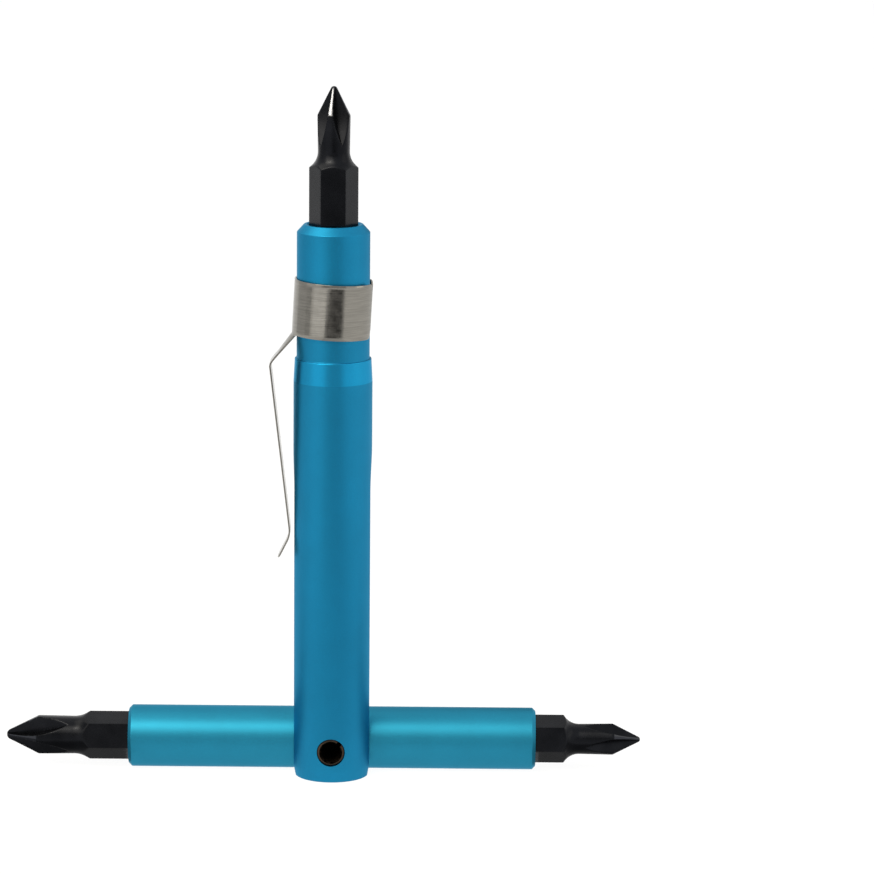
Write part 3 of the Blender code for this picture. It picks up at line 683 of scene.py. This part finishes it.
class PocketClip(bpy.types.Operator):
    """Forms the clip from one sheet: a split band on the neck and the arm below it"""

    bl_idname = "screwdriver.pocket_clip"
    bl_label = "Pocket clip"

    def execute(self, context):
        body, clip = context.scene.driver_body, context.scene.driver_clip
        size = node_size("driver_body")
        neck = size.x / 2 - body.neck_step
        play = clip.band_height / 2 * math.sin(clip.tilt)
        radius = neck / math.cos(clip.tilt) + play + clip.clearance + clip.sheet / 2
        root_half = math.asin((clip.arm_width / 2 + clip.root_flare) / radius)
        split = clip.split / 2 / radius
        side = np.linspace(split, math.pi - root_half, BAND_SIDE_COLUMNS, endpoint=False)
        arm = np.linspace(math.pi - root_half, math.pi + root_half, ARM_COLUMNS)
        a = np.concatenate([side, arm, 2 * math.pi - side[::-1]])

        # Near a free end the band's half height follows the arc of its corner.
        from_end = np.minimum(a - a[0], a[-1] - a) * radius
        inside = np.clip(1 - from_end / clip.corner, 0, 1)
        half_height = clip.band_height / 2 - clip.corner * (1 - np.sqrt(1 - inside**2))
        height = np.linspace(1, -1, BAND_ROWS)[:, None] * half_height
        band = np.stack([radius * np.cos(a) + 0 * height, radius * np.sin(a) + 0 * height, height], -1)
        lean = Matrix.Translation((0, 0, size.z - clip.drop)) @ Matrix.Rotation(clip.tilt, 4, "Y")
        band = placed(band, lean)

        # The arm's rows are as wide as the arm there, and the first ones flare out to the band.
        arm_columns = slice(len(side), len(side) + len(arm))
        root = band[-1, arm_columns]
        start = root[ARM_COLUMNS // 2, [0, 2]]
        path = clip_path(clip, size.x / 2, start)[1:]
        along = np.cumsum(np.linalg.norm(np.diff(path, axis=0, prepend=start[None]), axis=1))
        half = (clip.arm_width + (clip.tip_width - clip.arm_width) * along / along[-1]) / 2
        flare = np.clip(1 - along / clip.root_flare, 0, 1)
        half += clip.root_flare * (1 - np.sqrt(1 - flare**2))
        to_tip = np.clip(1 - (along[-1] - along) / clip.corner, 0, 1)
        half -= clip.corner * (1 - np.sqrt(1 - to_tip**2))
        across = np.sin(arm) / math.sin(root_half)
        flat = np.clip(along / clip.bend_drop, 0, 1)[:, None]
        sag = (root[:, 0] - start[0]) * (1 - flat)
        rows = np.stack([path[:, :1] + sag, half[:, None] * across, path[:, 1:] + 0 * sag], -1)

        band_index = np.arange(band[..., 0].size).reshape(band.shape[:2])
        arm_index = band_index.size + np.arange(rows[..., 0].size).reshape(rows.shape[:2])
        arm_index = np.vstack([band_index[-1, arm_columns], arm_index])
        points = np.vstack([band.reshape(-1, 3), rows.reshape(-1, 3)])
        faces = np.vstack([sheet_quads(band_index), sheet_quads(arm_index)]).tolist()
        piece = new_object("pocket_clip_finished", placed(points, Matrix.Translation(tool_axis())), faces)
        wall = piece.modifiers.new("Sheet", "SOLIDIFY")
        wall.thickness = clip.sheet
        wall.offset = 0
        wall.use_even_offset = True
        settle(piece)
        soften(piece, clip.edge_break, SHEET_EDGE_ANGLE)
        dress(piece, "pocket_clip", nickel_steel(context.scene.finishes))
        return {"FINISHED"}


def bit_facts(side):
    """Sizes of one bit: its length, its point's length, its tip radius, half its shank and half its blade."""
    point, shank, tip, blade = (millimetres * MM for millimetres in BIT_FACTS[side])
    bit_length = max(node_size(f"{side}_bit"))
    return {"length": bit_length, "point": point, "shank": shank / 2, "tip": tip, "blade": blade / 2}


def cove(start, end):
    """A concave arc of (radius, height) points from start, where it runs along the axis, to end."""
    rise, drop = end[0] - start[0], end[1] - start[1]
    radius = (rise**2 + drop**2) / (2 * rise)
    t = np.linspace(0, math.asin(min(1, abs(drop) / radius)), COVE_STEPS)
    along = math.copysign(1, drop) * radius * np.sin(t)
    return np.stack([start[0] + radius * (1 - np.cos(t)), start[1] + along], -1)


def bit_profile(bits, sockets, facts):
    """The turned blank from the tip down: dome, cone, waisted shank, cove, hex, cove and blade."""
    # The blank is a little wider than the hex's corners, so that the flats cut it all round.
    corner = sockets.across_flats / math.sqrt(3) * 1.02
    top = facts["length"]
    t = np.linspace(0, math.pi / 2 - bits.point_angle, DOME_STEPS)
    dome = np.stack([facts["tip"] * np.sin(t), top - facts["tip"] * (1 - np.cos(t))], -1)
    cone_end = dome[-1, 1] - (facts["shank"] - dome[-1, 0]) / math.tan(bits.point_angle)
    hex_top = top - facts["point"]
    waist = (facts["shank"] - bits.waist, hex_top + bits.point_cove)
    neck = (facts["blade"], bits.blade_length - bits.blade_cove)
    upper = cove(waist, (corner, hex_top))
    lower = cove(neck, (corner, bits.blade_length))[::-1]
    return np.vstack([dome, [(facts["shank"], cone_end)], upper, lower, [(facts["blade"], 0), (0, 0)]])


def least(*radii, sharpness=70):
    """A smooth least of several radii: a high negative power sum, which rounds the edges where they cross."""
    stack = np.stack(np.broadcast_arrays(*radii))
    low = stack.min(0)
    return low * ((stack / np.maximum(low, 1e-9)) ** -sharpness).sum(0) ** (-1 / sharpness)


def bit_surface(bits, sockets, facts):
    """The bit as a radius for each angle and height: the least of blank, hex, four flutes and blade.

    A plane at distance d has radius d / cos(angle from its normal). A flute is a right-angled groove whose
    root lies at a distance that grows along a wheel's arc, so its radius is root / (cos - |sin|) of the angle
    from it. Also says which points lie on the wings: what the flutes leave of the cone.
    """
    profile = resampled(bit_profile(bits, sockets, facts), bits.row_pitch)
    radius, height = profile[1:-1, :1], profile[1:-1, 1:]
    a = round_angles(bits.columns)
    to_flat = np.mod(a, math.pi / 3) - math.pi / 6
    flats = sockets.across_flats / 2 / np.cos(to_flat)

    run = facts["point"] - bits.flute_stop - bits.flute_lead
    rise = facts["shank"] - bits.flute_root
    wheel = (run**2 + rise**2) / (2 * rise)
    drop = np.clip(facts["length"] - bits.flute_lead - height, -wheel, wheel)
    root = bits.flute_root + wheel - np.sqrt(wheel**2 - drop**2)
    facing = a + math.pi / 2 - bits.wing_turn - math.pi / 4
    off = np.mod(facing + math.pi / 4, math.pi / 2) - math.pi / 4
    groove = root / np.maximum(np.cos(off) - np.abs(np.sin(off)), 1e-3)

    slope = (facts["blade"] - bits.blade_thickness / 2) / bits.blade_flat_length
    thickness = bits.blade_thickness / 2 + np.maximum(height, 0) * slope
    blade = thickness / np.maximum(np.abs(np.sin(a)), 1e-3)
    blade[height[:, 0] > bits.blade_flat_length + MM] = np.inf

    r = least(radius + 0 * a, flats + 0 * height, groove, blade)
    # The cone is narrower than the shank, and so is the waist, but the cone is near the tip.
    cone = height > facts["length"] - 2.2 * facts["shank"]
    on_wing = (groove > 1.02 * radius) & (radius < 0.97 * facts["shank"]) & cone
    return np.stack([r * np.cos(a), r * np.sin(a), height + 0 * a], -1), on_wing


def bit_place(side, facts):
    """The bit's own frame: Z along the bit with zero at the blade's end, and -Y out of the ball's flat."""
    low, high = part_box(f"{side}_bit")
    mouth = socket_mouth(side)
    at = mouth.translation
    reach = {"top": high.z - at.z, "left": at.x - low.x, "right": high.x - at.x}
    return mouth @ Matrix.Translation((0, 0, reach[side] - facts["length"]))


def ball_spot(bits, facts):
    """Height of the ball on the bit, at the middle of its hex."""
    return (facts["length"] - facts["point"] + bits.blade_length) / 2


class Bits(bpy.types.Operator):
    """Shapes the three double-ended bits"""

    bl_idname = "screwdriver.bits"
    bl_label = "Bits"

    def execute(self, context):
        bits, sockets = context.scene.driver_bits, context.scene.driver_sockets
        material = black_oxide_steel(context.scene.finishes)
        for side in SIDES:
            facts = bit_facts(side)
            place = bit_place(side, facts)
            grid, on_wing = bit_surface(bits, sockets, facts)
            piece = closed_solid(f"{side}_bit_finished", placed(grid, place))
            # The wings are marked for the painted highlight in the bits' material.
            mark(piece, "wing", np.append(on_wing.ravel(), (False, False)))
            carve(piece, self.ball_hole(side, bits, sockets, facts, place))
            dress(piece, f"{side}_bit", material)
        return {"FINISHED"}

    def ball_hole(self, side, bits, sockets, facts, place):
        """A turned cutter into the ball's flat: the staked ring, then the blind hole to the spring's seat."""
        ball = max(node_size(f"{side}_detent_ball"))
        hole = ball / 2 + bits.ball_hole_gap
        deep = ball - (sockets.clearance - bits.ball_gap) + bits.spring_length + 2 * bits.spring_seat_gap
        profile = [(hole + 2 * bits.stake_width, bits.stake_depth), (hole, -bits.stake_depth), (hole, -deep)]
        flat = (0, -sockets.across_flats / 2, ball_spot(bits, facts))
        seat = place @ Matrix.Translation(flat) @ Matrix.Rotation(math.pi / 2, 4, "X")
        return closed_solid(f"{side}_ball_hole", placed(turned(profile, BALL_HOLE_COLUMNS), seat))


class Detents(bpy.types.Operator):
    """Makes the ball and the coil spring of each bit"""

    bl_idname = "screwdriver.detents"
    bl_label = "Detent balls and springs"

    def execute(self, context):
        bits, sockets = context.scene.driver_bits, context.scene.driver_sockets
        finish = context.scene.finishes
        steel = plain_steel("bearing_steel_polished", finish.ball, roughness=0.1, grain_mm=0.5)
        drawn = plain_steel("spring_wire_drawn", finish.wire, roughness=0.3, grain_mm=0.2)
        for side in SIDES:
            facts = bit_facts(side)
            place = bit_place(side, facts)
            ball = self.ball(side)
            dress(ball, f"{side}_detent_ball", steel)
            ball_size = max(node_size(f"{side}_detent_ball"))
            proud = sockets.clearance - bits.ball_gap
            start = ball_size - proud + bits.spring_seat_gap - sockets.across_flats / 2
            centre = Vector((0, start, ball_spot(bits, facts)))
            spring = self.spring(side, bits, place @ Matrix.Translation(centre))
            dress(spring, f"{side}_detent_spring", drawn)
            # A pressed ball shortens its spring towards the floor of the hole.
            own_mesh(spring)
        return {"FINISHED"}

    def ball(self, side):
        """A sphere: each half circle point carried round the vertical axis."""
        name = f"{side}_detent_ball"
        radius = max(node_size(name)) / 2
        t = np.linspace(0, math.pi, BALL_ROWS)[1:-1]
        grid = turned(np.stack([radius * np.sin(t), radius * np.cos(t)], -1), BALL_COLUMNS)
        return closed_solid(f"{name}_finished", placed(grid, Matrix.Translation(node_middle(name))))

    def spring(self, side, bits, place):
        """A tube round a helix: centre (R cos t, pitch t, R sin t), with the wire's circle radial and axial."""
        coil = (bits.spring_diameter - bits.spring_wire) / 2
        travel = bits.spring_length - bits.spring_wire
        t = np.linspace(0, 2 * math.pi * bits.spring_turns, COIL_ROWS)[:, None]
        w = round_angles(WIRE_COLUMNS)[::-1]
        reach = coil + bits.spring_wire / 2 * np.cos(w)
        along = bits.spring_wire / 2 * (1 + np.sin(w)) + travel * t / t[-1]
        grid = np.stack([reach * np.cos(t), along, reach * np.sin(t)], -1)
        return closed_solid(f"{side}_detent_spring_finished", placed(grid, place))


def white_where_seen(tree, plain, white, surface):
    """Links a surface that shows white to the camera and in reflections, and the plain one to other light."""
    rays = node(tree, "LightPath").outputs
    seen = {0: rays["Is Camera Ray"], 1: rays["Is Glossy Ray"]}
    seen = node(tree, "Math", seen, operation="MAXIMUM")
    seen = {0: seen.outputs[0], 1: rays["Is Transmission Ray"]}
    seen = node(tree, "Math", seen, operation="MAXIMUM")
    mix = node(tree, "MixShader", {0: seen.outputs[0], 1: plain, 2: white})
    tree.links.new(mix.outputs[0], surface)


def across(left, right, near, far):
    """Corners of a card between two (y, z) lines along X."""
    return [(left, *near), (right, *near), (right, *far), (left, *far)]


def upright(start, end, low, high):
    """Corners of an upright card between two (x, y) points."""
    return [(*start, low), (*end, low), (*end, high), (*start, high)]


def ramp(y, foot=-0.004, steepness=math.radians(17)):
    """A point (y, z) on the board that slopes up in front of the tool."""
    return y, foot - math.tan(steepness) * y


# What the room shows in reflections, as each card's corners in metres and its brightness. Below 1 a card is
# darker than the background.
CARDS = {
    # The board in front of the tool, with the dark, soft-edged stripe that the clip's band shows.
    "front_low": (across(-0.05, 0.062, ramp(-0.014), ramp(-0.13)), 0.8),
    "front_high": (across(-0.042, 0.074, ramp(-0.13), ramp(-0.178)), 0.03),
    "front_left": (across(-0.042, -0.06, ramp(-0.13), ramp(-0.178)), 0.35),
    "front_right": (across(0.074, 0.092, ramp(-0.13), ramp(-0.178)), 0.35),
    "left": (upright((-0.2, -0.02), (-0.2, 0.12), 0.04, 0.16), 0.75),
    "window": (upright((-0.06, -0.36), (-0.33, -0.2), 0.018, 0.042), 1.5),
    "window_side": (upright((-0.38, -0.17), (-0.34, 0.2), 0.002, 0.04), 0.5),
    "front_dark": (upright((-0.35, -0.5), (0.35, -0.5), 0.08, 0.26), 0.5),
    # The floor is dark far in front of the tool. Close under the bits lie cards of painted contact shadow,
    # which only reflections see.
    "floor_far": (across(-0.12, 0.12, (-0.37, 0.002), (-0.62, 0.002)), 0.1),
    "left_painted_shadow": (across(-0.0315, -0.085, (-0.004, 0.0004), (0.02, 0.0004)), 0.4),
    "right_painted_shadow": (across(0.0315, 0.085, (-0.004, 0.0004), (0.02, 0.0004)), 0.4),
    "back_right": (upright((0.02, 0.3), (0.16, 0.3), 0.02, 0.3), 0.4),
}

# Softboxes: their place and size in metres, and their radiance.
LAMPS = {
    "key_softbox": ((-0.27, -0.43, 0.5), (0.55, 0.62), 2.4),
    "tube": ((-0.287, -0.404, 0.591), (0.33, 0.03), 45.0),
    "overhead": ((-0.28, 0.06, 0.55), (0.35, 0.3), 1.7),
    "fill_softbox": ((0.62, -0.12, 0.3), (0.3, 0.5), 0.8),
}
LAMP_COLOUR = (1.0, 0.91, 0.72)
LAMP_TARGET = Vector((0, 0, 0.05))


class Stage(bpy.types.Operator):
    """Sets the floor, the lights, the background and the camera"""

    bl_idname = "screwdriver.stage"
    bl_label = "Stage"

    def execute(self, context):
        stage = context.scene.driver_stage
        context.scene.view_settings.view_transform = "Standard"
        self.floor(stage)
        self.world(context.scene)
        for name, (corners, strength) in CARDS.items():
            self.card(name, corners, strength)
        for name, (spot, size, radiance) in LAMPS.items():
            self.lamp(name, spot, size, radiance)
        self.camera(context.scene, stage)
        return {"FINISHED"}

    def floor(self, stage):
        half = stage.floor_size / 2
        corners = half * np.array([(-1, -1, 0), (1, -1, 0), (1, 1, 0), (-1, 1, 0)])
        made = new_object("floor", corners, [(0, 1, 2, 3)])
        material, tree, shader, _ = new_material("floor_white_card")
        fill(tree, shader, {"Base Color": (0.8, 0.8, 0.8, 1), "Roughness": 0.9})
        faint = node(tree, "BsdfDiffuse", {"Color": (0.14, 0.14, 0.14, 1)})
        # The white behind the floor shows through it, and so does the end of the bar that folds down past it.
        clear = node(tree, "BsdfTransparent", {"Color": (0.95, 0.95, 0.95, 1)})
        both = node(tree, "AddShader", {0: faint.outputs[0], 1: clear.outputs[0]})
        surface = tree.nodes["Material Output"].inputs["Surface"]
        white_where_seen(tree, shader.outputs[0], both.outputs[0], surface)
        made.data.materials.append(material)

    def card(self, name, corners, strength):
        """A card that only reflections see, as bright as its strength."""
        made = new_object(f"card_{name}", np.array(corners), [(0, 1, 2, 3)])
        material = bpy.data.materials.new(f"card_{name}")
        material.use_nodes = True
        tree = material.node_tree
        glow = node(tree, "Emission", {"Color": (1, 1, 1, 1), "Strength": strength})
        tree.links.new(glow.outputs[0], tree.nodes["Material Output"].inputs["Surface"])
        made.data.materials.append(material)
        for ray in ("camera", "diffuse", "transmission", "shadow", "volume_scatter"):
            setattr(made, f"visible_{ray}", False)

    def world(self, scene):
        scene.world = scene.world or bpy.data.worlds.new("studio")
        scene.world.use_nodes = True
        tree = scene.world.node_tree
        plain = tree.nodes["Background"]
        fill(tree, plain, {"Color": (1, 1, 1, 1), "Strength": 0.4})
        white = node(tree, "Background", {"Color": (1, 1, 1, 1), "Strength": 1.0})
        white_where_seen(tree, plain.outputs[0], white.outputs[0], tree.nodes["World Output"].inputs["Surface"])

    def lamp(self, name, spot, size, radiance):
        """A rectangular softbox that faces the tool. Its power is its radiance times pi times its area."""
        data = bpy.data.lights.new(name, "AREA")
        data.shape = "RECTANGLE"
        data.size, data.size_y = size
        data.energy = radiance * math.pi * size[0] * size[1]
        data.color = LAMP_COLOUR
        made = bpy.data.objects.new(name, data)
        bpy.context.scene.collection.objects.link(made)
        made.location = spot
        made.rotation_euler = (LAMP_TARGET - made.location).to_track_quat("-Z", "Y").to_euler()

    def camera(self, scene, stage):
        data = bpy.data.cameras.new("camera")
        data.lens = stage.lens
        data.clip_start = 0.01
        made = bpy.data.objects.new("camera", data)
        scene.collection.objects.link(made)
        target = tool_axis() + Vector((stage.aim_right, 0, stage.aim_up))
        back = Vector((0, -math.cos(stage.view_height), math.sin(stage.view_height)))
        made.location = target + stage.view_distance * back
        level = Matrix.Rotation(math.pi / 2 - stage.view_height, 4, "X")
        made.rotation_euler = (level @ Matrix.Rotation(stage.view_roll, 4, "Z")).to_euler()
        scene.camera = made


class ScrewdriverPanel(bpy.types.Panel):
    """Lists the pieces of the screwdriver and the stage"""

    bl_idname = "VIEW3D_PT_screwdriver"
    bl_label = "T-handle screwdriver"
    bl_space_type = "VIEW_3D"
    bl_region_type = "UI"
    bl_category = "Screwdriver"

    def draw(self, context):
        for operator in OPERATORS:
            self.layout.operator(operator.bl_idname)
        for group in GROUPS:
            settings = getattr(context.scene, group)
            for name in settings.__annotations__:
                self.layout.prop(settings, name)


OPERATORS = (DriverBody, Crossbar, PivotPin, PocketClip, Bits, Detents, Stage)
GROUPS = {
    "driver_body": BodySizes,
    "driver_sockets": SocketSizes,
    "driver_bits": BitSizes,
    "driver_clip": ClipSizes,
    "finishes": Finishes,
    "driver_stage": StageSettings,
}


def register():
    for group, kind in GROUPS.items():
        bpy.utils.register_class(kind)
        setattr(bpy.types.Scene, group, PointerProperty(type=kind))
    for kind in (*OPERATORS, ScrewdriverPanel):
        bpy.utils.register_class(kind)


def unregister():
    for kind in (*OPERATORS, ScrewdriverPanel):
        bpy.utils.unregister_class(kind)
    for group, kind in GROUPS.items():
        delattr(bpy.types.Scene, group)
        bpy.utils.unregister_class(kind)


def main():
    register()
    bpy.ops.screwdriver.driver_body()
    bpy.ops.screwdriver.crossbar()
    bpy.ops.screwdriver.pivot_pin()
    bpy.ops.screwdriver.pocket_clip()
    bpy.ops.screwdriver.bits()
    bpy.ops.screwdriver.detents()
    bpy.ops.screwdriver.stage()


if __name__ == "__main__":
    main()
